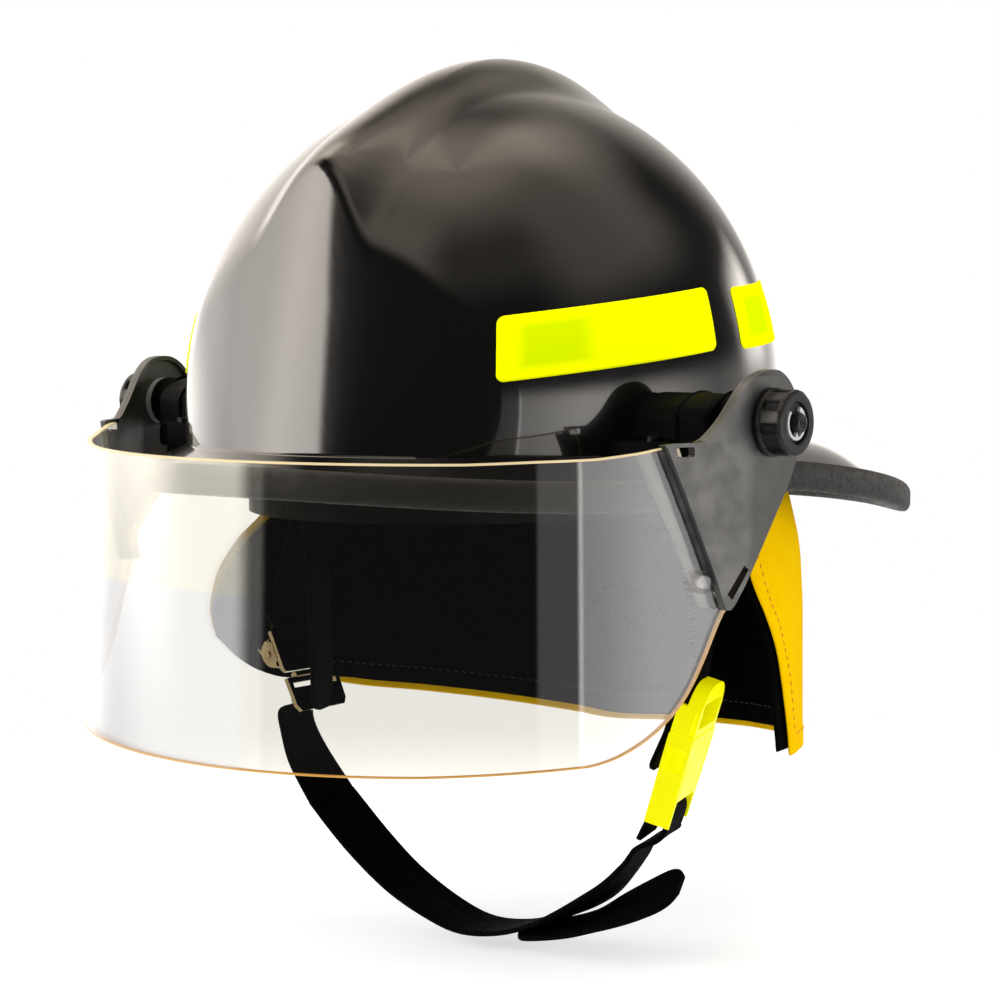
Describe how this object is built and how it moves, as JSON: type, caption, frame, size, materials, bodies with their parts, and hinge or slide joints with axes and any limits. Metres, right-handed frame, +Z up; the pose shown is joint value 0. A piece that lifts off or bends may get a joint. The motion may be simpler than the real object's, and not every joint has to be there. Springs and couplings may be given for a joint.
{
  "type": "fire helmet",
  "caption": "Glossy helmet with an oval brim and crown comb, a tilting clear face shield, a padded ratchet headband, a cloth ear and neck cover, and a chin strap with quick buckle",
  "frame": {"origin": "centre of the headband at its lower edge, which is the mount head_seat", "axes": "+X to the wearer's left, +Y to the rear, +Z up; the front of the helmet faces -Y"},
  "size_m": [0.3182, 0.363, 0.3396],
  "materials": {
    "shell": "glossy black moulded composite",
    "trim": "grained black rubber",
    "foam": "dark grey impact foam",
    "reflective": "lime yellow reflective sheet",
    "band": "black moulded nylon",
    "pad": "dark grey padded cloth",
    "webbing": "black woven webbing",
    "cover_cloth": "golden yellow twill",
    "liner_cloth": "black knitted cloth",
    "bracket": "black moulded nylon",
    "steel": "zinc plated steel",
    "washer": "grey acetal",
    "lens": "clear, faintly yellow polycarbonate",
    "arm": "black moulded nylon, satin",
    "clamp": "dark grey strip",
    "white": "white acetal",
    "buckle": "bright lime yellow acetal",
    "nickel": "satin champagne nickel plate"
  },
  "bodies": {
    "helmet": {"outer_shell": "shell", "edge_trim": "trim", "impact_liner": "foam", "decal_left_front": "reflective", "decal_left_rear": "reflective", "decal_right_front": "reflective", "decal_right_rear": "reflective", "headband": "band", "brow_pad": "pad", "crown_strap_long": "webbing", "crown_strap_cross": "webbing", "crown_pad": "pad", "strap_hangers": "band", "nape_yoke": "band", "nape_pad": "pad", "ratchet_housing": "band", "cover_outer": "cover_cloth", "cover_liner": "liner_cloth", "cover_tape": "liner_cloth", "pivot_bracket_left": "bracket", "pivot_bracket_right": "bracket", "bracket_screws": "steel", "pivot_stud_left": "steel", "pivot_stud_right": "steel", "friction_washer_left": "washer", "friction_washer_right": "washer", "stud_ring_left": "white", "stud_ring_right": "white", "strap_anchor_left": "steel", "strap_anchor_right": "steel", "near_strap": "webbing", "far_strap": "webbing", "far_strap_tail": "webbing", "buckle_base": "buckle", "chin_strap": "webbing", "chin_strap_tail": "webbing", "slide_frame": "nickel", "slide_pin": "nickel"},
    "face_shield": {"visor_lens": "lens", "visor_arm_left": "arm", "visor_arm_right": "arm", "visor_clamp_left": "clamp", "visor_clamp_right": "clamp", "lens_buttons": "white"},
    "knob_left": {"visor_knob_left": "arm"},
    "knob_right": {"visor_knob_right": "arm"},
    "nape_dial": {"ratchet_dial": "band"},
    "band_end_left": {"rack_left": "band"},
    "band_end_right": {"rack_right": "band"},
    "buckle_socket_half": {"buckle_socket": "buckle"},
    "prong_front": {"buckle_prong_front": "buckle"},
    "prong_rear": {"buckle_prong_rear": "buckle"},
    "fastener_lever": {"slide_lever": "nickel"},
    "fastener_loop": {"slide_loop": "nickel"}
  },
  "joints": [
    {"name": "visor_tilt", "type": "hinge", "parent": "helmet", "child": "face_shield", "pos_m": [0, -0.03, 0.037], "axis": [-1, 0, 0], "range_deg": [0, 78]},
    {"name": "knob_left_turn", "type": "hinge", "parent": "helmet", "child": "knob_left", "pos_m": [0.15, -0.03, 0.037], "axis": [1, 0, 0], "range_deg": [-180, 180]},
    {"name": "knob_right_turn", "type": "hinge", "parent": "helmet", "child": "knob_right", "pos_m": [-0.15, -0.03, 0.037], "axis": [-1, 0, 0], "range_deg": [-180, 180]},
    {"name": "dial_turn", "type": "hinge", "parent": "helmet", "child": "nape_dial", "pos_m": [0, 0.11, 0.016], "axis": [0, -1, 0], "range_deg": [0, 184]},
    {"name": "band_end_left_draw", "type": "hinge", "parent": "helmet", "child": "band_end_left", "pos_m": [0, 0.03602, 0.016], "axis": [0, 0, 1], "range_deg": [0, 9]},
    {"name": "band_end_right_draw", "type": "hinge", "parent": "helmet", "child": "band_end_right", "pos_m": [0, 0.03602, 0.016], "axis": [0, 0, -1], "range_deg": [0, 9]},
    {"name": "buckle_release", "type": "slide", "parent": "helmet", "child": "buckle_socket_half", "axis": [-0.2701, -0.093, -0.9583], "range_m": [0, 0.024], "deforming": ["chin_strap", "chin_strap_tail"]},
    {"name": "prong_front_squeeze", "type": "hinge", "parent": "helmet", "child": "prong_front", "pos_m": [0.09737, -0.00853, -0.0794], "axis": [0.9061, 0.312, -0.2857], "range_deg": [0, 4], "stiffness_Nm_per_rad": 0.35},
    {"name": "prong_rear_squeeze", "type": "hinge", "parent": "helmet", "child": "prong_rear", "pos_m": [0.08943, 0.01453, -0.0794], "axis": [-0.9061, -0.312, 0.2857], "range_deg": [0, 4], "stiffness_Nm_per_rad": 0.35},
    {"name": "fastener_lever_lift", "type": "hinge", "parent": "helmet", "child": "fastener_lever", "pos_m": [-0.09992, 0, -0.06553], "axis": [0, -1, 0], "range_deg": [0, 18]},
    {"name": "fastener_loop_swing", "type": "hinge", "parent": "helmet", "child": "fastener_loop", "pos_m": [-0.09055, 0, -0.07372], "axis": [0, 1, 0], "range_deg": [-12, 30], "deforming": ["chin_strap"]}
  ],
  "couplings": [
    {"joint": "band_end_left_draw", "follows": "dial_turn", "ratio": 0.04836},
    {"joint": "band_end_right_draw", "follows": "dial_turn", "ratio": 0.04836}
  ]
}
